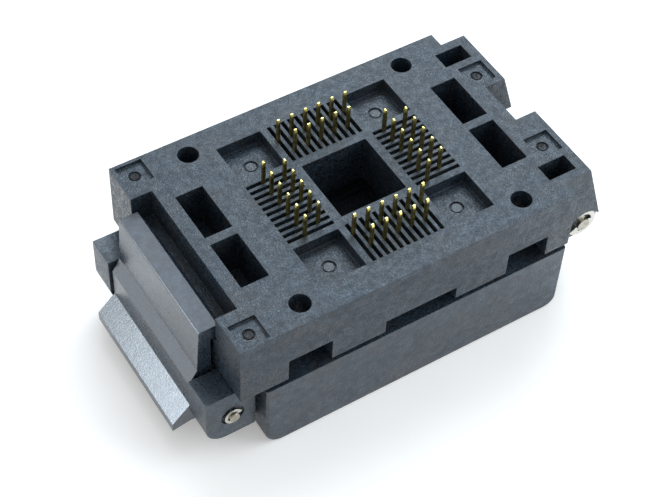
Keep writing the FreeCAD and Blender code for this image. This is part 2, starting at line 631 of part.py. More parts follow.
inner_contact = contact_shape(value("tail_inner"))
outer_contact = contact_shape(value("tail_outer"))
for label, turn, outer_first in (
    ("contacts_north", 0, True),
    ("contacts_west", 90, True),
    ("contacts_south", 180, False),
    ("contacts_east", 270, False),
):
    blanks = []
    for i in range(count_per_side):
        at = (i - (value("lead_count") - 1) / 2) * value("pitch")
        pick = outer_contact if (i % 2 == 0) == outer_first else inner_contact
        blank = pick.copy()
        blank.translate(FreeCAD.Vector(at, 0, 0))
        blank.rotate(FreeCAD.Vector(0, 0, 0), FreeCAD.Vector(0, 0, 1), turn)
        blanks.append(blank)
    row_of = doc.addObject("Part::Feature", "Row" + str(turn))
    row_of.Shape = Part.makeCompound(blanks)
    row_of.Placement = FreeCAD.Placement()
    keep(row_of, label)


# Nest plate: holds the contacts in and centres the package
nest_top = "-seat_depth-nest_seat_gap"
nest_low = "-base_depth+nest_sink"
plate = block("NestPlate", "-nest_half", "nest_half", "-nest_half", "nest_half", nest_low, nest_top)
lead = doc.addObject("Part::Wedge", "NestLead")
lead.Placement = FreeCAD.Placement(FreeCAD.Vector(0, 0, 0), FreeCAD.Rotation(FreeCAD.Vector(1, 0, 0), 90))
for prop, text in (
    ("Xmin", "-(nest_opening+nest_lead)"), ("Xmax", "nest_opening+nest_lead"),
    ("Zmin", "-(nest_opening+nest_lead)"), ("Zmax", "nest_opening+nest_lead"),
    ("X2min", "-nest_opening"), ("X2max", "nest_opening"),
    ("Z2min", "-nest_opening"), ("Z2max", "nest_opening"),
    ("Ymin", nest_low), ("Ymax", nest_low + "+nest_lead"),
):
    bind(lead, prop, text)
nest_tools = [block("NestOpening", "-nest_opening", "nest_opening", "-nest_opening", "nest_opening",
                    "-base_depth-1", "-seat_depth+1"), lead]
guides = []
for sx in (1, -1):
    for sy in (1, -1):
        tag = ("P" if sx > 0 else "M") + ("P" if sy > 0 else "M")
        nest_tools.append(rod("NestHole" + tag, "z", "nest_screw_radius+press_gap", "base_depth",
                              signed("nest_screw_at", sx), signed("nest_screw_at", sy), "-base_depth-1"))
        nest_tools.append(cone("NestSink" + tag, "nest_head_radius+press_gap+sink_gap",
                               "nest_screw_radius+press_gap",
                               "nest_head_radius-nest_screw_radius+sink_gap",
                               signed("nest_screw_at", sx), signed("nest_screw_at", sy), nest_low))
        far_x = span("guide_inner", "nest_opening+0.1", sx)
        wide_x = span("field_half+rib_end+rib_side_gap", "nest_opening+0.1", sx)
        far_y = span("guide_inner", "nest_opening+0.1", sy)
        wide_y = span("field_half+rib_end+rib_side_gap", "nest_opening+0.1", sy)
        guides.append(block("GuideX" + tag, far_x[0], far_x[1], wide_y[0], wide_y[1],
                            nest_low + "+guide_drop", nest_top))
        guides.append(block("GuideY" + tag, wide_x[0], wide_x[1], far_y[0], far_y[1],
                            nest_low + "+guide_drop", nest_top))
keep(join("Nest", [cut("NestBlank", plate, nest_tools)] + guides), "nest_plate")

screws = []
for sx in (1, -1):
    for sy in (1, -1):
        tag = ("P" if sx > 0 else "M") + ("P" if sy > 0 else "M")
        px = signed("nest_screw_at", sx)
        py = signed("nest_screw_at", sy)
        head = cone("NestHead" + tag, "nest_head_radius", "nest_screw_radius",
                    "nest_head_radius-nest_screw_radius", px, py, nest_low)
        shank = rod("NestShank" + tag, "z", "nest_screw_radius", "nest_screw_long", px, py, nest_low)
        slots = [
            block("NestCrossX" + tag, px + "-cross_half", px + "+cross_half",
                  py + "-cross_wide_half", py + "+cross_wide_half",
                  "-base_depth-1", nest_low + "+cross_deep"),
            block("NestCrossY" + tag, px + "-cross_wide_half", px + "+cross_wide_half",
                  py + "-cross_half", py + "+cross_half",
                  "-base_depth-1", nest_low + "+cross_deep"),
        ]
        screws.append(cut("NestScrew" + tag, join("NestScrewSolid" + tag, [head, shank]), slots))
keep(group("NestScrews", screws), "nest_screws")


# Shafts with a groove at each end, and the open clips that hold them
def shaft(name, radius, half, neck, land, thick, x, z):
    bar = rod(name + "Bar", "y", radius, "2*%s" % half, x, "-(%s)" % half, z)
    grooves = []
    for sy in (1, -1):
        tag = "P" if sy > 0 else "M"
        y0, y1 = span("%s" % land, "%s+%s+2*clip_gap" % (land, thick), sy)
        outside = rod(name + "GrooveOut" + tag, "y", radius + "+1", "(%s)-(%s)" % (y1, y0), x, y0, z)
        inside = rod(name + "GrooveIn" + tag, "y", neck, "(%s)-(%s)" % (y1, y0), x, y0, z)
        ring = doc.addObject("Part::Cut", name + "Groove" + tag)
        ring.Base = outside
        ring.Tool = inside
        grooves.append(ring)
    return cut(name, bar, grooves)


def turned(thing, angle):
    # The same piece turned about the Y axis through the origin.
    arm = doc.addObject("Part::Compound", thing.Name + "Turn")
    arm.Links = [thing]
    arm.Placement = FreeCAD.Placement(FreeCAD.Vector(0, 0, 0),
                                      FreeCAD.Rotation(FreeCAD.Vector(0, 1, 0), angle))
    return arm


def clip(name, radius, neck, thick, y0, x, z, turn):
    # An open retaining clip: a ring with three inner lands and a right-angled mouth.
    disc = rod(name + "Disc", "y", radius, thick, "0", "0", "0")
    hole = rod(name + "Hole", "y", "%s*clip_bore_share" % radius, "%s+2" % thick, "0", "-1", "0")
    rim = cut(name + "Rim", disc, [hole])
    lands = [rim]
    half_land = "%s*clip_land_share" % radius
    for i, angle in enumerate((0, 115, 245)):
        land = block(name + "Land%d" % i, "-" + half_land, half_land, "0", thick,
                     neck, "%s*(1+clip_bore_share)/2" % radius)
        lands.append(turned(land, angle))
    solid = join(name + "Solid", lands)
    mouth = turned(block(name + "Mouth", "0", "2*" + radius, "-1", "%s+1" % thick,
                         "-2*" + radius, "0"), 45)
    neck_hole = rod(name + "Neck", "y", "%s+clip_gap" % neck, "%s+2" % thick, "0", "-1", "0")
    open_ring = cut(name, solid, [mouth, neck_hole])
    open_ring.Placement = FreeCAD.Placement(FreeCAD.Vector(0, 0, 0),
                                            FreeCAD.Rotation(FreeCAD.Vector(0, 1, 0), turn))
    bind(open_ring, "Placement.Base.x", x)
    bind(open_ring, "Placement.Base.y", y0)
    bind(open_ring, "Placement.Base.z", z)
    return open_ring


keep(shaft("HingeShaft", "hinge_shaft_radius", "hinge_shaft_half", "hinge_neck_radius", "ring_land",
           "hinge_clip_thick", "hinge_x", hinge_z), "hinge_shaft")
keep(clip("HingeClipNear", "hinge_clip_radius", "hinge_neck_radius", "hinge_clip_thick",
          "-(ring_land+clip_gap+hinge_clip_thick)", "hinge_x", hinge_z, 103), "hinge_clip_near")
keep(clip("HingeClipFar", "hinge_clip_radius", "hinge_neck_radius", "hinge_clip_thick",
          "ring_land+clip_gap", "hinge_x", hinge_z, -40), "hinge_clip_far")
clip_seat = "(clip_face+clip_play)"
keep(shaft("LatchShaft", "latch_shaft_radius", "latch_shaft_half", "latch_neck_radius", clip_seat,
           "latch_clip_thick", "-latch_x", latch_z), "latch_shaft")
keep(clip("LatchClipNear", "latch_clip_radius", "latch_neck_radius", "latch_clip_thick",
          "-(%s+clip_gap+latch_clip_thick)" % clip_seat, "-latch_x", latch_z, -65), "latch_clip_near")
keep(clip("LatchClipFar", "latch_clip_radius", "latch_neck_radius", "latch_clip_thick",
          "%s+clip_gap" % clip_seat, "-latch_x", latch_z, -70), "latch_clip_far")


# Lid: a deep frame with rounded outer corners, latch lugs, hinge knuckles and a stop shelf
shell = prism("LidShell", [("-lid_latch_end", lid_top), ("base_hinge_end", lid_top),
                           ("base_hinge_end", lid_bottom), ("-lid_latch_end", lid_bottom)],
              "-base_half_width", "base_half_width")
low_z = value(lid_bottom)
round_edges(shell, "LidRoundLatch", "lid_round_latch",
            lambda a, b: along_y(a, b) and abs(a.z - low_z) < 1e-6 and a.x < 0)
round_edges(shell, "LidRoundHinge", "lid_round_hinge",
            lambda a, b: along_y(a, b) and abs(a.z - low_z) < 1e-6 and a.x > 0)
round_edges(shell, "LidEdgeRound", "lid_edge_round",
            lambda a, b: abs(a.z - low_z) < 1e-6 and abs(b.z - low_z) < 1e-6
            and abs(a.y - b.y) < 1e-6 and abs(a.x - b.x) > 1)
lid_parts = [shell]
lug_top = "-(base_depth+lug_gap)"
for sy in (1, -1):
    tag = "P" if sy > 0 else "M"
    y0, y1 = span("lug_inner", "lug_outer", sy)
    lid_parts.append(block("LugUpper" + tag, "-lug_reach", "-lid_latch_end+1", y0, y1,
                           "-lug_bottom+lug_round", lug_top))
    lid_parts.append(block("LugLower" + tag, "-lug_reach+lug_round", "-lid_latch_end+1", y0, y1,
                           "-lug_bottom", lug_top))
    lid_parts.append(rod("LugRound" + tag, "y", "lug_round", "lug_outer-lug_inner",
                         "-lug_reach+lug_round", y0, "-lug_bottom+lug_round"))
arm_low = "-(hinge_deep+barrel_radius+shelf_gap+shelf_thick)"
for side, low, high in (
    ("Near", "-(cheek_near-knuckle_gap)", "-(bay_near+knuckle_gap)"),
    ("Far", "bay_far+knuckle_gap", "cheek_far-knuckle_gap"),
):
    lid_parts.append(block("Arm" + side, "base_hinge_end-0.5", "hinge_x", low, high, arm_low, lid_top))
    lid_parts.append(rod("Knuckle" + side, "y", "knuckle_radius", "(%s)-(%s)" % (high, low),
                         "hinge_x", low, hinge_z))
lid_parts.append(block("Shelf", "base_hinge_end-0.5", "hinge_x+shelf_reach", "-shelf_half",
                       "shelf_half", arm_low, "-(hinge_deep+barrel_radius+shelf_gap)"))
lid_solid = join("LidSolid", lid_parts)

lid_tools = [block("LidCavity", "-cavity_half", "cavity_half", "-cavity_half", "cavity_half",
                   lid_inside, lid_top + "+1")]
for sx in (1, -1):
    for sy in (1, -1):
        tag = ("P" if sx > 0 else "M") + ("P" if sy > 0 else "M")
        end = "hinge" if sx > 0 else "latch"
        x0, x1 = span("core_inner_" + end, "core_outer_" + end, sx)
        y0, y1 = span("core_rib_half", "core_high", sy)
        lid_tools.append(block("Core" + tag, x0, x1, y0, y1, lid_top + "-core_deep", lid_top + "+1"))
        px = signed("push_screw_at", sx)
        py = signed("push_screw_at", sy)
        lid_tools.append(rod("SlideHole" + tag, "z", "push_screw_radius+slide_gap", "lid_floor+2",
                             px, py, lid_bottom + "-1"))
        lid_tools.append(rod("HeadSeat" + tag, "z", "push_head_radius+slide_gap", "push_head_sink+1",
                             px, py, lid_bottom + "-1"))
for i, (sx, sy) in enumerate(((1, 0), (-1, 0), (0, 1), (0, -1))):
    lid_tools.append(rod("FloorPocket%d" % i, "z", "push_spring_radius+push_wire+pocket_gap",
                         "floor_pocket_deep+1", "%d*push_spring_at" % sx, "%d*push_spring_at" % sy,
                         lid_inside + "-floor_pocket_deep"))
for sy in (1, -1):
    tag = "P" if sy > 0 else "M"
    y0, y1 = span("lug_outer-lug_groove_deep", "lug_outer+1", sy)
    lid_tools.append(block("LugGroove" + tag, "-lid_latch_end-lug_groove", "-lid_latch_end", y0, y1,
                           "-lug_bottom-1", "-base_depth"))
    y0, y1 = span("clip_face", "lug_outer+1", sy)
    lid_tools.append(rod("ClipSeat" + tag, "y", "clip_seat_radius", "clip_seat_deep+1",
                         "-latch_x", y0, latch_z))
    lid_tools.append(rod("LatchPocket" + tag, "x", "latch_spring_radius+latch_wire+pocket_gap",
                         "latch_pocket_lid+1", "-lid_latch_end-1", signed("latch_spring_y", sy),
                         "-latch_spring_deep"))
lid_tools.append(rod("LugBore", "y", "latch_shaft_radius+press_gap", "2*lug_outer+2",
                     "-latch_x", "-lug_outer-1", latch_z))
lid_tools.append(rod("KnuckleBore", "y", "hinge_shaft_radius+run_gap", "2*cheek_far+2",
                     "hinge_x", "-cheek_far-1", hinge_z))
keep(cut("LidFrame", lid_solid, lid_tools), "lid_frame")


# Latch: a hook over the base ledge, a bored body between the lugs and a finger tab
stem = "-(base_latch_end+latch_wall_gap)"
nose = "-(base_latch_end-hook_reach)"
hook_low = "-(keep_deep-hook_gap)"
hook_top = "-(keep_deep-hook_gap-hook_flat)"
profile = [
    ("-latch_back", "-latch_top"), ("-latch_back+latch_top_width", "-latch_top"),
    (nose, hook_top), (nose, hook_low), (stem, hook_low),
    (stem, "-heel_start"), ("-latch_inner", "-heel_end"),
    ("-latch_inner", "-tab_bottom+foot_bevel"), ("-latch_inner-foot_bevel", "-tab_bottom"),
    ("-latch_belly", "-tab_bottom+tab_cup"), ("-tab_tip", "-tab_bottom"), ("-tab_tip", "-tab_edge"),
    ("-latch_belly", "-tab_start"), ("-latch_belly", "-belly_full"),
    ("-latch_back-belly_step", "-belly_start"),
]
latch_body = prism("LatchBody", profile, "-latch_half", "latch_half")
top_z = value("-latch_top")
back_x = value("-latch_back")
round_edges(latch_body, "LatchTopRound", "latch_top_round",
            lambda a, b: along_y(a, b) and abs(a.z - top_z) < 1e-6 and abs(a.x - back_x) < 1e-6)
latch_tools = [rod("LatchBore", "y", "latch_shaft_radius+run_gap", "2*latch_half+2",
                   "-latch_x", "-latch_half-1", latch_z)]
for sy in (1, -1):
    tag = "P" if sy > 0 else "M"
    latch_tools.append(rod("LatchSeat" + tag, "x", "latch_spring_radius+latch_wire+pocket_gap",
                           "latch_pocket_latch+2", "-latch_inner-latch_pocket_latch",
                           signed("latch_spring_y", sy), "-latch_spring_deep"))
keep(cut("Latch", latch_body, latch_tools), "latch")


# Pusher: a sprung plate in the lid whose four ribs press the leads on the contacts
push_top = nest_low + "-pusher_rest_gap"
push_low = push_top + "-pusher_thick"
pusher_parts = [block("PusherPlate", "-pusher_half", "pusher_half", "-pusher_half", "pusher_half",
                      push_low, push_top)]
rib_top = "-seat_depth-rib_seat_gap"
for sign in (1, -1):
    tag = "P" if sign > 0 else "M"
    r0, r1 = span("rib_inner", "rib_outer", sign)
    pusher_parts.append(block("RibX" + tag, r0, r1, "-(field_half+rib_end)",
                              "field_half+rib_end", push_top + "-1", rib_top))
    pusher_parts.append(block("RibY" + tag, "-(field_half+rib_end)", "field_half+rib_end",
                              r0, r1, push_top + "-1", rib_top))
pusher_tools = [block("Relief", "-relief_half", "relief_half", "-relief_half", "relief_half",
                      push_top + "-relief_deep", push_top + "+0.01")]
for sx in (1, -1):
    for sy in (1, -1):
        tag = ("P" if sx > 0 else "M") + ("P" if sy > 0 else "M")
        pusher_tools.append(rod("PushThread" + tag, "z", "push_screw_radius+press_gap",
                                "push_screw_in+1", signed("push_screw_at", sx),
                                signed("push_screw_at", sy), push_low + "-1"))
for i, (sx, sy) in enumerate(((1, 0), (-1, 0), (0, 1), (0, -1))):
    pusher_tools.append(rod("PushPocket%d" % i, "z", "push_spring_radius+push_wire+pocket_gap",
                            "push_pocket_deep+1", "%d*push_spring_at" % sx, "%d*push_spring_at" % sy,
                            push_low + "-1"))
keep(cut("Pusher", join("PusherSolid", pusher_parts), pusher_tools), "pusher")

shoulder = []
seat_z = lid_bottom + "+push_head_sink-head_seat_gap"
for sx in (1, -1):
    for sy in (1, -1):
        tag = ("P" if sx > 0 else "M") + ("P" if sy > 0 else "M")
        px = signed("push_screw_at", sx)
        py = signed("push_screw_at", sy)
        head = rod("PushHead" + tag, "z", "push_head_radius", "push_head_thick", px, py,
                   seat_z + "-push_head_thick")
        shank = rod("PushShank" + tag, "z", "push_screw_radius",
                    "(%s+push_screw_in)-(%s)" % (push_low, seat_z), px, py, seat_z)
        drive = block("PushDrive" + tag, px + "-push_head_radius*1.1", px + "+push_head_radius*1.1",
                      py + "-drive_wide_half", py + "+drive_wide_half", seat_z + "-push_head_thick-1",
                      seat_z + "-push_head_thick+drive_deep")
        shoulder.append(cut("PushScrew" + tag, join("PushScrewSolid" + tag, [head, shank]), [drive]))
keep(group("PushScrews", shoulder), "pusher_screws")


# Springs, wound as helices with their real wire
def coil(radius, wire, length, turns):
    # An upright helical spring between the planes 0 and length.
    pitch_of = (length - 2 * wire) / turns
    path = Part.makeHelix(pitch_of, length - 2 * wire, radius)
    ring = Part.Circle(FreeCAD.Vector(radius, 0, 0), FreeCAD.Vector(0, 1, 0), wire).toShape()
    tube = Part.Wire(path).makePipeShell([Part.Wire(ring)], True, True)
    tube.translate(FreeCAD.Vector(0, 0, wire))
    return tube


push_from = value(lid_inside + "-floor_pocket_deep")
push_to = value(push_low + "+push_pocket_deep")
push_coils = []
for sx, sy in ((1, 0), (-1, 0), (0, 1), (0, -1)):
    spring = coil(value("push_spring_radius"), value("push_wire"), push_to - push_from,
                  value("push_turns"))
    spring.translate(FreeCAD.Vector(sx * value("push_spring_at"), sy * value("push_spring_at"), push_from))
    push_coils.append(spring)
push_springs = doc.addObject("Part::Feature", "PusherSprings")
push_springs.Shape = Part.makeCompound(push_coils)
push_springs.Placement = FreeCAD.Placement()
keep(push_springs, "pusher_springs")

latch_from = value("-latch_inner-latch_pocket_latch")
latch_to = value("-lid_latch_end+latch_pocket_lid")
latch_coils = []
for sy in (1, -1):
    spring = coil(value("latch_spring_radius"), value("latch_wire"), latch_to - latch_from,
                  value("latch_turns"))
    spring.rotate(FreeCAD.Vector(0, 0, 0), FreeCAD.Vector(0, 1, 0), 90)
    spring.translate(FreeCAD.Vector(latch_from, sy * value("latch_spring_y"), -value("latch_spring_deep")))
    latch_coils.append(spring)
latch_springs = doc.addObject("Part::Feature", "LatchSprings")
latch_springs.Shape = Part.makeCompound(latch_coils)
latch_springs.Placement = FreeCAD.Placement()
keep(latch_springs, "latch_springs")

# The hinge spring: a close coil round the hinge shaft. One leg runs from the top of the coil into
# the base end wall, the other from the bottom of the coil along the lid shelf.
wire = value("coil_wire")
mean = value("coil_radius")
first = value("-bay_near+coil_end_gap+coil_wire")
last = value("leg_y")
helix = Part.makeHelix((last - first) / value("coil_turns"), last - first, mean)
helix.rotate(FreeCAD.Vector(0, 0, 0), FreeCAD.Vector(1, 0, 0), -90)
helix.rotate(FreeCAD.Vector(0, 0, 0), FreeCAD.Vector(0, 1, 0), 90)
helix.translate(FreeCAD.Vector(value("hinge_x"), first, -value("hinge_deep")))
opening = helix.Edges[0]
closing = helix.Edges[-1]
start = opening.valueAt(opening.FirstParameter)
finish = closing.valueAt(closing.LastParameter)
section = Part.Circle(start, opening.tangentAt(opening.FirstParameter), wire).toShape()
tube = Part.Wire(helix.Edges).makePipeShell([Part.Wire(section)], True, True)
lid_leg = value("hinge_x-base_hinge_end-leg_end_gap")
base_leg = value("leg_reach")
legs = []
for spot, reach in ((start, lid_leg), (finish, base_leg)):
    legs.append(Part.makeCylinder(wire, reach, spot, FreeCAD.Vector(-1, 0, 0)))
    legs.append(Part.makeSphere(wire, spot))
hinge_spring = doc.addObject("Part::Feature", "HingeSpring")
hinge_spring.Shape = tube.fuse(legs).removeSplitter()
hinge_spring.Placement = FreeCAD.Placement()
keep(hinge_spring, "hinge_spring")

doc.recompute()

for thing in doc.Objects:
    if "Invalid" in thing.State or "Error" in thing.State:
        raise RuntimeError("failed: " + thing.Name)

os.makedirs("parts", exist_ok=True)
for thing in nodes:
    shape = thing.Shape
    if shape.isNull() or not shape.isValid():
        raise RuntimeError("bad shape: " + thing.Label)
for thing in nodes:
    thing.Shape.exportStep("parts/%s.step" % thing.Label)
    print("%-18s solids %2d  volume %.3f" % (thing.Label, len(thing.Shape.Solids), thing.Shape.Volume))
print("nodes", len(nodes))
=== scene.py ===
import bpy
from mathutils import Matrix, Vector


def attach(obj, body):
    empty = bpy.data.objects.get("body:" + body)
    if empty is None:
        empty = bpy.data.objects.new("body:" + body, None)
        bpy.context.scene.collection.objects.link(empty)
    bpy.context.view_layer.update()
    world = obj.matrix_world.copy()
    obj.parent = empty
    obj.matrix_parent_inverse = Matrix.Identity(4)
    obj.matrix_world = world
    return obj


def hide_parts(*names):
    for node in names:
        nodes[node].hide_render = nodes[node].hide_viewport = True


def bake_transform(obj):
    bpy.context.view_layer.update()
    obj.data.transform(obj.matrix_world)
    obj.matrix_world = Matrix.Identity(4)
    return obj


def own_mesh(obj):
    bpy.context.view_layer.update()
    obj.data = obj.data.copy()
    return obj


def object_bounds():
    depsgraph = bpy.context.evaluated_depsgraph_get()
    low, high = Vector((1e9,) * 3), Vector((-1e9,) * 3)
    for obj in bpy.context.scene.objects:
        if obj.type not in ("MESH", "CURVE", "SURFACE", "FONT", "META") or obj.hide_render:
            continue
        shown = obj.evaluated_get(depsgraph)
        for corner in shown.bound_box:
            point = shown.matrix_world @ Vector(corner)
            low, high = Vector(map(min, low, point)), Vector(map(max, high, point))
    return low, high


# Lengths are in metres and angles in radians. X runs from the latch to the hinge, Z is up, and the
# board face lies at Z = 0.

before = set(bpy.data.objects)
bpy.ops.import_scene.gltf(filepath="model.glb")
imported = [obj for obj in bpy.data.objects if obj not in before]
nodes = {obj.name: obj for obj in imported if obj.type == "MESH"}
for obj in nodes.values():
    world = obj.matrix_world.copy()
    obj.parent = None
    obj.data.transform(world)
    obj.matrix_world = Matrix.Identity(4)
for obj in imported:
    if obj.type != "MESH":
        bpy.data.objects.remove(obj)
cad_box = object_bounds()
scene = bpy.context.scene


# ---- Camera: the place and the angle from which the socket was photographed ----

CAMERA_PLACE = (-0.0648762, -0.09166546, 0.1256371)
CAMERA_RIGHT = Vector((0.84869871, -0.52769115, 0.03539152))
CAMERA_DOWN = Vector((-0.38993649, -0.66954437, -0.63218659))
CAMERA_AHEAD = Vector((0.35729545, 0.52273549, -0.77400747))
SENSOR_MM = 36.0
FOCAL_MM = 90.4247
NEAREST = 0.01
FARTHEST = 10.0


def make_camera():
    data = bpy.data.cameras.new("Camera")
    data.sensor_fit = "HORIZONTAL"
    data.sensor_width = SENSOR_MM
    data.lens = FOCAL_MM
    data.clip_start = NEAREST
    data.clip_end = FARTHEST
    camera = bpy.data.objects.new("Camera", data)
    scene.collection.objects.link(camera)
    turn = Matrix((CAMERA_RIGHT, -CAMERA_DOWN, -CAMERA_AHEAD)).transposed()
    camera.matrix_world = Matrix.Translation(CAMERA_PLACE) @ turn.to_4x4()
    scene.camera = camera


# ---- Shader nodes ----

# Sockets of the colour mix node, which share their names and so are picked by number.
MIX_FACTOR = 0
MIX_FROM = 6
MIX_TO = 7
MIX_RESULT = 2

# Cosine between the softened and the plain normal: on a flat face, and on a sharp edge.
FLAT_COSINE = 0.995
EDGE_COSINE = 0.80
BEVEL_SAMPLES = 6

# Round marks show down to the first height and fully from the second one up, with a thin soft rim.
MARK_FLOOR = -0.0022
MARK_FULL = -0.0020
MARK_RIM = 0.92


class Tree:
    """Adds and links shader nodes in the tree of one material or world."""

    def __init__(self, owner):
        owner.use_nodes = True
        self.tree = owner.node_tree
        self.tree.nodes.clear()

    def feed(self, socket, value):
        """Link a socket to another one, or give it a value. A colour is three numbers."""
        if isinstance(value, bpy.types.NodeSocket):
            self.tree.links.new(value, socket)
        elif socket.type == "RGBA":
            socket.default_value = (value[0], value[1], value[2], 1.0)
        else:
            socket.default_value = value

    def add(self, kind, inputs=None, **settings):
        node = self.tree.nodes.new(kind)
        for key, value in settings.items():
            setattr(node, key, value)
        for key, value in (inputs or {}).items():
            self.feed(node.inputs[key], value)
        return node

    def noise(self, where, scale, detail, rough):
        inputs = {"Vector": where, "Scale": scale, "Detail": detail, "Roughness": rough}
        return self.add("ShaderNodeTexNoise", inputs).outputs["Fac"]

    def stretch(self, where, scale, turn=(0.0, 0.0, 0.0)):
        inputs = {"Vector": where, "Rotation": turn, "Scale": scale}
        return self.add("ShaderNodeMapping", inputs).outputs["Vector"]

    def math(self, operation, a, b=0.0, clamp=False):
        return self.add("ShaderNodeMath", {0: a, 1: b}, operation=operation, use_clamp=clamp).outputs[0]

    def spread(self, value, low, high, to_low=0.0, to_high=1.0):
        """The value, mapped from low..high to to_low..to_high and held there."""
        inputs = {"Value": value, "From Min": low, "From Max": high, "To Min": to_low, "To Max": to_high}
        return self.add("ShaderNodeMapRange", inputs, clamp=True).outputs["Result"]

    def mix(self, factor, a, b):
        node = self.add("ShaderNodeMix", data_type="RGBA")
        self.feed(node.inputs[MIX_FACTOR], factor)
        self.feed(node.inputs[MIX_FROM], a)
        self.feed(node.inputs[MIX_TO], b)
        return node.outputs[MIX_RESULT]

    def layer(self, base, shade, pattern, low, high, amount):
        """Lay so much of the shade over the base where the pattern rises from low to high."""
        return self.mix(self.math("MULTIPLY", self.spread(pattern, low, high), amount), base, shade)

    def height(self, vector):
        return self.add("ShaderNodeSeparateXYZ", {"Vector": vector}).outputs["Z"]

    def disc(self, where, place, size):
        """1 near the board face inside circles of radius size at (x, y) and (x, -y), else 0."""
        split = self.add("ShaderNodeSeparateXYZ", {"Vector": where}).outputs
        side = self.math("ABSOLUTE", split["Y"])
        flat = self.add("ShaderNodeCombineXYZ", {"X": split["X"], "Y": side}).outputs["Vector"]
        off = self.add("ShaderNodeVectorMath", {0: flat, 1: (place[0], place[1], 0.0)},
                       operation="DISTANCE").outputs["Value"]
        depth = self.spread(split["Z"], MARK_FLOOR, MARK_FULL)
        return self.math("MULTIPLY", self.spread(off, size, size * MARK_RIM), depth)

    def edges(self, radius):
        """The softened normal, and a mask from 0 to 1 that is high along sharp edges."""
        soft = self.add("ShaderNodeBevel", {"Radius": radius}, samples=BEVEL_SAMPLES).outputs["Normal"]
        flat = self.add("ShaderNodeNewGeometry").outputs["Normal"]
        dot = self.add("ShaderNodeVectorMath", {0: soft, 1: flat}, operation="DOT_PRODUCT")
        return soft, self.spread(dot.outputs["Value"], FLAT_COSINE, EDGE_COSINE)

    def bump(self, height, normal, strength, distance):
        inputs = {"Strength": strength, "Distance": distance, "Height": height, "Normal": normal}
        return self.add("ShaderNodeBump", inputs).outputs["Normal"]

    def seen(self):
        """1 for camera, glossy and transmission rays, else 0."""
        rays = self.add("ShaderNodeLightPath").outputs
        level = self.math("MAXIMUM", rays["Is Camera Ray"], rays["Is Glossy Ray"])
        return self.math("MAXIMUM", level, rays["Is Transmission Ray"])

    def surface(self, shader, kind="ShaderNodeOutputMaterial"):
        self.add(kind, {"Surface": shader.outputs[0]})


def times(colour, factor):
    return tuple(min(1.0, part * factor) for part in colour)


# ---- Moulding resin ----

# Noise patterns: features per metre, octaves and their roughness.
PITS = (5600.0, 2.0, 0.6)
SPECKS = (6100.0, 1.0, 0.5)
MOTTLE = (4300.0, 3.0, 0.7)
CLOUDS = (520.0, 3.0, 0.6)
PATCHES = (1100.0, 4.0, 0.7)
RUBS = (3600.0, 2.0, 0.6)
FLOW = (150.0, 3.0, 0.6)

# Rubs run along one slanted direction, and flow lines along the length of the part.
RUB_STRETCH = (0.05, 1.0, 1.0)
RUB_TURN = (0.3, 0.2, 0.45)
FLOW_STRETCH = (1.0, 2.2, 1.6)

# Shades of the mottle as factors of the resin's colour, and the shades laid over it.
DARK_SPOT = 0.20
PALE_SPOT = 2.9
WARM_FLOW = (0.032, 0.027, 0.022)
COOL_CLOUD = (0.005, 0.014, 0.029)
GLASS_FLECK = (0.15, 0.17, 0.19)
RUBBED_LINE = (0.16, 0.18, 0.20)
# The next shade is laid along sharp edges: partly wear, partly a painted highlight of edges catching
# light.
WORN_EDGE_AND_HIGHLIGHT = (0.20, 0.22, 0.24)

# Radius over which edges are softened, depth of the bumps, and colours of the mirrored light.
RESIN_EDGE = 0.00011
RESIN_BUMP = 0.00003
BLUE_SHEEN = (0.80, 0.895, 1.0)
LATCH_SHEEN = (0.91, 0.95, 1.0)

# Worn edges are smoother by this much. A face looks up where its normal's height is in this range.
EDGE_GLOSS = 0.08
UP_FROM = 0.80
UP_FULL = 0.97

# Round moulding marks: radius, shade and change of roughness. The dark shade of the pocket marks is a
# painted shade for their sunk rings; the recess marks are paler and smoother. In MARKS they follow the
# place of the mark on the +Y side, which has a twin on the -Y side.
POCKET_MARK_PAINTED_SHADE = (0.00062, (0.010, 0.008, 0.007), 0.40)
RECESS_MARK = (0.00058, (0.050, 0.055, 0.062), -0.12)
MARKS = (((-0.0189, 0.01145), *POCKET_MARK_PAINTED_SHADE),
         ((0.0194, 0.00595), *POCKET_MARK_PAINTED_SHADE),
         ((-0.0076, 0.0076), *RECESS_MARK),
         ((0.0076, 0.0076), *RECESS_MARK))


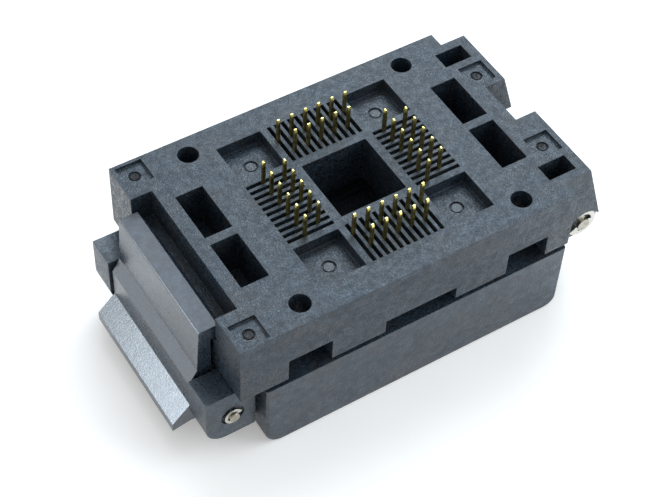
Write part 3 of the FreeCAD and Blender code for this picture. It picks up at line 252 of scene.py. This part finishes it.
def resin(name, colour, rough, ior=1.50, grain=1.0, relief=1.0, wear_and_highlight=0.5, sheen=BLUE_SHEEN, marks=(),
          dull_top=0.0):
    """Glass-filled moulding resin: speckled, finely pitted, and paler and smoother along sharp edges.

    grain scales the flecks and the rubbed lines, relief the pits and the spread of the roughness, and
    wear_and_highlight the paleness of the edges, which is partly wear and partly a painted highlight.
    dull_top is added to the roughness of faces that look up.
    """
    material = bpy.data.materials.new(name)
    t = Tree(material)
    coords = t.add("ShaderNodeTexCoord").outputs
    where = coords["Object"]
    pits = t.noise(where, *PITS)
    speck = t.noise(where, *SPECKS)
    mottle = t.noise(where, *MOTTLE)
    cloud = t.noise(where, *CLOUDS)
    patch = t.noise(where, *PATCHES)
    rubbed = t.noise(t.stretch(where, RUB_STRETCH, RUB_TURN), *RUBS)
    flow = t.noise(t.stretch(where, FLOW_STRETCH), *FLOW)
    soft, edge = t.edges(RESIN_EDGE)

    pale = times(colour, PALE_SPOT)
    base = t.mix(t.spread(mottle, 0.42, 0.64), times(colour, DARK_SPOT), pale)
    base = t.layer(base, pale, patch, 0.44, 0.62, 0.65)
    base = t.layer(base, WARM_FLOW, flow, 0.46, 0.66, 0.45)
    base = t.layer(base, COOL_CLOUD, cloud, 0.48, 0.66, 0.50)
    base = t.layer(base, GLASS_FLECK, speck, 0.60, 0.72, 0.50 * grain)
    lines = t.math("MULTIPLY", t.spread(rubbed, 0.62, 0.74), t.spread(cloud, 0.45, 0.62))
    base = t.mix(t.math("MULTIPLY", lines, 0.30 * grain), base, RUBBED_LINE)
    # Pale edges: partly wear, partly a painted highlight along the sharp edges.
    scuffs_and_highlight = t.math("MULTIPLY", edge, t.spread(mottle, 0.30, 0.58), clamp=True)
    base = t.mix(t.math("MULTIPLY", scuffs_and_highlight, wear_and_highlight), base, WORN_EDGE_AND_HIGHLIGHT)

    roughness = t.spread(mottle, 0.30, 0.70, rough - 0.10 * relief, rough + 0.12 * relief)
    roughness = t.math("ADD", roughness, t.spread(patch, 0.30, 0.70, 0.10 * relief, -0.07 * relief))
    roughness = t.math("SUBTRACT", roughness, t.math("MULTIPLY", edge, EDGE_GLOSS))
    # Pocket marks get a painted shade, darker and rougher; recess marks are made paler and smoother.
    for place, size, shade, change in marks:
        disc = t.math("MULTIPLY", t.disc(where, place, size), t.spread(mottle, 0.30, 0.55, 0.4, 1.0))
        base = t.mix(disc, base, shade)
        roughness = t.math("ADD", roughness, t.math("MULTIPLY", disc, change))
    looks_up = t.spread(t.height(coords["Normal"]), UP_FROM, UP_FULL)
    roughness = t.math("ADD", roughness, t.math("MULTIPLY", looks_up, dull_top), clamp=True)

    normal = t.bump(pits, soft, relief, RESIN_BUMP)
    normal = t.bump(cloud, normal, relief, RESIN_BUMP)
    t.surface(t.add("ShaderNodeBsdfPrincipled", {"Base Color": base, "Roughness": roughness,
                                                 "IOR": ior, "Specular Tint": sheen,
                                                 "Normal": normal}))
    return material


# ---- Metals ----

METAL_LINES = (5200.0, 3.0, 0.6)
METAL_CLOUDS = (900.0, 3.0, 0.6)
METAL_EDGE = 0.00006
METAL_BUMP = 0.000006

# Factors of the metal's colour: under tarnish, in the streaks, and on polished edges.
TARNISHED = 0.6
IN_LINES = 0.75
POLISHED = 1.25

# How far the streaks are drawn out along each axis. A small factor draws them long.
ALONG_Y = (1.0, 0.3, 1.0)
ALONG_X = (0.15, 1.0, 1.0)
ALONG_Z = (1.0, 1.0, 0.2)
EVEN = (1.0, 1.0, 1.0)


def metal(name, colour, rough, streak=EVEN, tarnish=None, amount=0.3):
    """Metal with drawn or ground streaks, an amount of tarnish and polished edges."""
    material = bpy.data.materials.new(name)
    t = Tree(material)
    where = t.add("ShaderNodeTexCoord").outputs["Object"]
    lines = t.noise(t.stretch(where, streak), *METAL_LINES)
    cloud = t.noise(where, *METAL_CLOUDS)
    soft, edge = t.edges(METAL_EDGE)
    base = t.layer(colour, tarnish or times(colour, TARNISHED), cloud, 0.42, 0.68, amount)
    base = t.layer(base, times(colour, IN_LINES), lines, 0.35, 0.65, 0.25)
    base = t.mix(t.math("MULTIPLY", edge, 0.4), base, times(colour, POLISHED))
    roughness = t.spread(lines, 0.3, 0.7, rough * 0.75, rough * 1.35)
    normal = t.bump(lines, soft, 0.35, METAL_BUMP)
    t.surface(t.add("ShaderNodeBsdfPrincipled", {"Base Color": base, "Metallic": 1.0,
                                                 "Roughness": roughness, "Normal": normal}))
    return material


# Flanks of the contacts between dark and pale, streaks, and painted highlights on the tips and rims.
GOLD_CLOUDS = (2600.0, 3.0, 0.6)
GOLD_LINES = (9000.0, 2.0, 0.5)
GOLD_STRETCH = (1.0, 1.0, 0.12)
GOLD_EDGE = 0.00009
GOLD_BUMP = 0.000008
GOLD_DARK = (0.15, 0.12, 0.04)
GOLD_PALE = (0.38, 0.31, 0.10)
GOLD_STREAK = (0.10, 0.078, 0.03)
GOLD_TIP_HIGHLIGHT = (0.98, 0.84, 0.27)
GOLD_RIM_HIGHLIGHT = (0.80, 0.68, 0.26)

# The painted highlight on the tips of the tails comes in between these heights above the board face.
TIP_FROM = 0.00225
TIP_FULL = 0.00275


def gold(name):
    """Plated contact blanks: dull and browned on the flanks, with painted highlights on tips and edges.
    """
    material = bpy.data.materials.new(name)
    t = Tree(material)
    where = t.add("ShaderNodeTexCoord").outputs["Object"]
    cloud = t.noise(where, *GOLD_CLOUDS)
    lines = t.noise(t.stretch(where, GOLD_STRETCH), *GOLD_LINES)
    soft, edge = t.edges(GOLD_EDGE)
    tip_highlight = t.spread(t.height(where), TIP_FROM, TIP_FULL)
    base = t.mix(t.spread(cloud, 0.36, 0.64), GOLD_DARK, GOLD_PALE)
    base = t.layer(base, GOLD_STREAK, lines, 0.4, 0.7, 0.35)
    # Painted highlights on the tips of the tails and along their sharp edges; the tips are also
    # smoother.
    base = t.mix(tip_highlight, base, GOLD_TIP_HIGHLIGHT)
    base = t.mix(t.math("MULTIPLY", edge, 0.35), base, GOLD_RIM_HIGHLIGHT)
    roughness = t.math("SUBTRACT", t.spread(cloud, 0.3, 0.7, 0.30, 0.46), t.math("MULTIPLY", tip_highlight, 0.08))
    normal = t.bump(lines, soft, 0.4, GOLD_BUMP)
    t.surface(t.add("ShaderNodeBsdfPrincipled", {"Base Color": base, "Metallic": 1.0,
                                                 "Roughness": roughness, "Normal": normal}))
    return material


# ---- Materials on the nodes ----

def dress(name, material):
    mesh = nodes[name].data
    if not mesh.materials:
        mesh.materials.append(material)
    for slot in nodes[name].material_slots:
        slot.material = material


def dress_nodes():
    housing = resin("housing_resin", (0.008, 0.013, 0.019), 0.30, ior=1.49, grain=0.9, relief=2.3,
                    marks=MARKS)
    lid = resin("lid_resin", (0.010, 0.016, 0.023), 0.33, ior=1.68, grain=0.7, relief=1.6)
    latch = resin("latch_resin", (0.014, 0.021, 0.032), 0.24, ior=2.2, grain=0.4, relief=0.35,
                  wear_and_highlight=0.8, sheen=LATCH_SHEEN, dull_top=0.50)
    inner = resin("inner_resin", (0.008, 0.010, 0.013), 0.42, grain=0.8)
    clips = metal("clip_steel", (0.60, 0.59, 0.54), 0.24, ALONG_Y, tarnish=(0.40, 0.36, 0.26),
                  amount=0.4)
    shafts = metal("shaft_steel", (0.44, 0.41, 0.35), 0.32, ALONG_X, tarnish=(0.13, 0.11, 0.07),
                   amount=0.8)
    screws = metal("screw_steel", (0.58, 0.58, 0.59), 0.32)
    wire = metal("spring_wire", (0.60, 0.60, 0.60), 0.28, ALONG_Z)
    contacts = gold("contact_gold")
    for material, names in (
        (housing, ("base_housing",)),
        (lid, ("lid_frame",)),
        (latch, ("latch",)),
        (inner, ("nest_plate", "pusher")),
        (contacts, ("contacts_north", "contacts_south", "contacts_east", "contacts_west")),
        (screws, ("nest_screws", "pusher_screws")),
        (shafts, ("hinge_shaft", "latch_shaft")),
        (clips, ("hinge_clip_near", "hinge_clip_far", "latch_clip_near", "latch_clip_far")),
        (wire, ("hinge_spring", "latch_springs", "pusher_springs")),
    ):
        for name in names:
            dress(name, material)


# ---- Springs as pieces of their own ----

def coils(node):
    """The same springs as a piece of their own, in place of the hidden node."""
    piece = bpy.data.objects.new(node.replace("springs", "coils"), nodes[node].data.copy())
    scene.collection.objects.link(piece)
    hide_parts(node)
    return piece


def move_springs():
    """The latch springs become a piece fixed in place, and the pusher springs a piece attached to the
    lid.
    """
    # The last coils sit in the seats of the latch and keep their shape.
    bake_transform(coils("latch_springs"))
    push_coils = coils("pusher_springs")
    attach(push_coils, "lid")
    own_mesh(push_coils)


# ---- Floor, background and light ----

FLOOR_HALF = 1.5
FLOOR_GAP = 0.00002
PAPER = (220.0, 3.0, 0.5)
PAPER_DARK = (0.925, 0.92, 0.91)
PAPER_PALE = (0.945, 0.94, 0.93)
FLOOR_GLOW = (1.0, 0.97, 0.94)
FLOOR_GLOW_LEVEL = 0.25
SKY = (0.94, 0.975, 1.0)
SKY_LEVEL = 0.64


def make_floor():
    """A white floor. Its faint glow shows to the camera and in glossy faces, and lights nothing."""
    level = cad_box[0][2] - FLOOR_GAP
    corners = [(x * FLOOR_HALF, y * FLOOR_HALF, level) for x, y in ((-1, -1), (1, -1), (1, 1), (-1, 1))]
    mesh = bpy.data.meshes.new("floor")
    mesh.from_pydata(corners, [], [(0, 1, 2, 3)])
    floor = bpy.data.objects.new("floor", mesh)
    scene.collection.objects.link(floor)
    material = bpy.data.materials.new("floor_white")
    t = Tree(material)
    paper = t.noise(t.add("ShaderNodeTexCoord").outputs["Object"], *PAPER)
    tone = t.mix(t.spread(paper, 0.3, 0.7), PAPER_DARK, PAPER_PALE)
    matt = t.add("ShaderNodeBsdfDiffuse", {"Color": tone}).outputs[0]
    glow = t.add("ShaderNodeEmission", {"Color": FLOOR_GLOW, "Strength": FLOOR_GLOW_LEVEL}).outputs[0]
    both = t.add("ShaderNodeAddShader", {0: matt, 1: glow}).outputs[0]
    t.surface(t.add("ShaderNodeMixShader", {0: t.seen(), 1: matt, 2: both}))
    mesh.materials.append(material)


def make_world():
    """A pale sky that is white where it is seen, and dimmer where it lights the part."""
    world = bpy.data.worlds.new("World")
    scene.world = world
    t = Tree(world)
    level = t.math("MAXIMUM", t.seen(), SKY_LEVEL)
    back = t.add("ShaderNodeBackground", {"Color": SKY, "Strength": level})
    t.surface(back, "ShaderNodeOutputWorld")


LAMP_COLOUR = (0.85, 0.94, 1.0)


def lamp(name, place, aim, size, watts):
    data = bpy.data.lights.new(name, "AREA")
    data.shape = "SQUARE"
    data.size = size
    data.energy = watts
    data.color = LAMP_COLOUR
    thing = bpy.data.objects.new(name, data)
    scene.collection.objects.link(thing)
    thing.location = place
    thing.rotation_euler = (Vector(aim) - Vector(place)).to_track_quat("-Z", "Y").to_euler()
    return thing


def make_lamps():
    lamp("softbox_back", (0.20, 0.25, 0.40), (0, 0, 0), 0.31, 1.85)
    left = lamp("softbox_left", (-0.395, 0.145, 0.165), (-0.02, 0.0, -0.01), 0.19, 0.92)
    lamp("softbox_right", (0.36, -0.22, 0.26), (0, 0, 0), 0.34, 1.2)
    # The left lamp draws the bright finger tab, and would wash out the shadow on the floor.
    left.visible_diffuse = False


make_camera()
dress_nodes()
move_springs()
make_floor()
make_world()
make_lamps()
scene.view_settings.view_transform = "Standard"
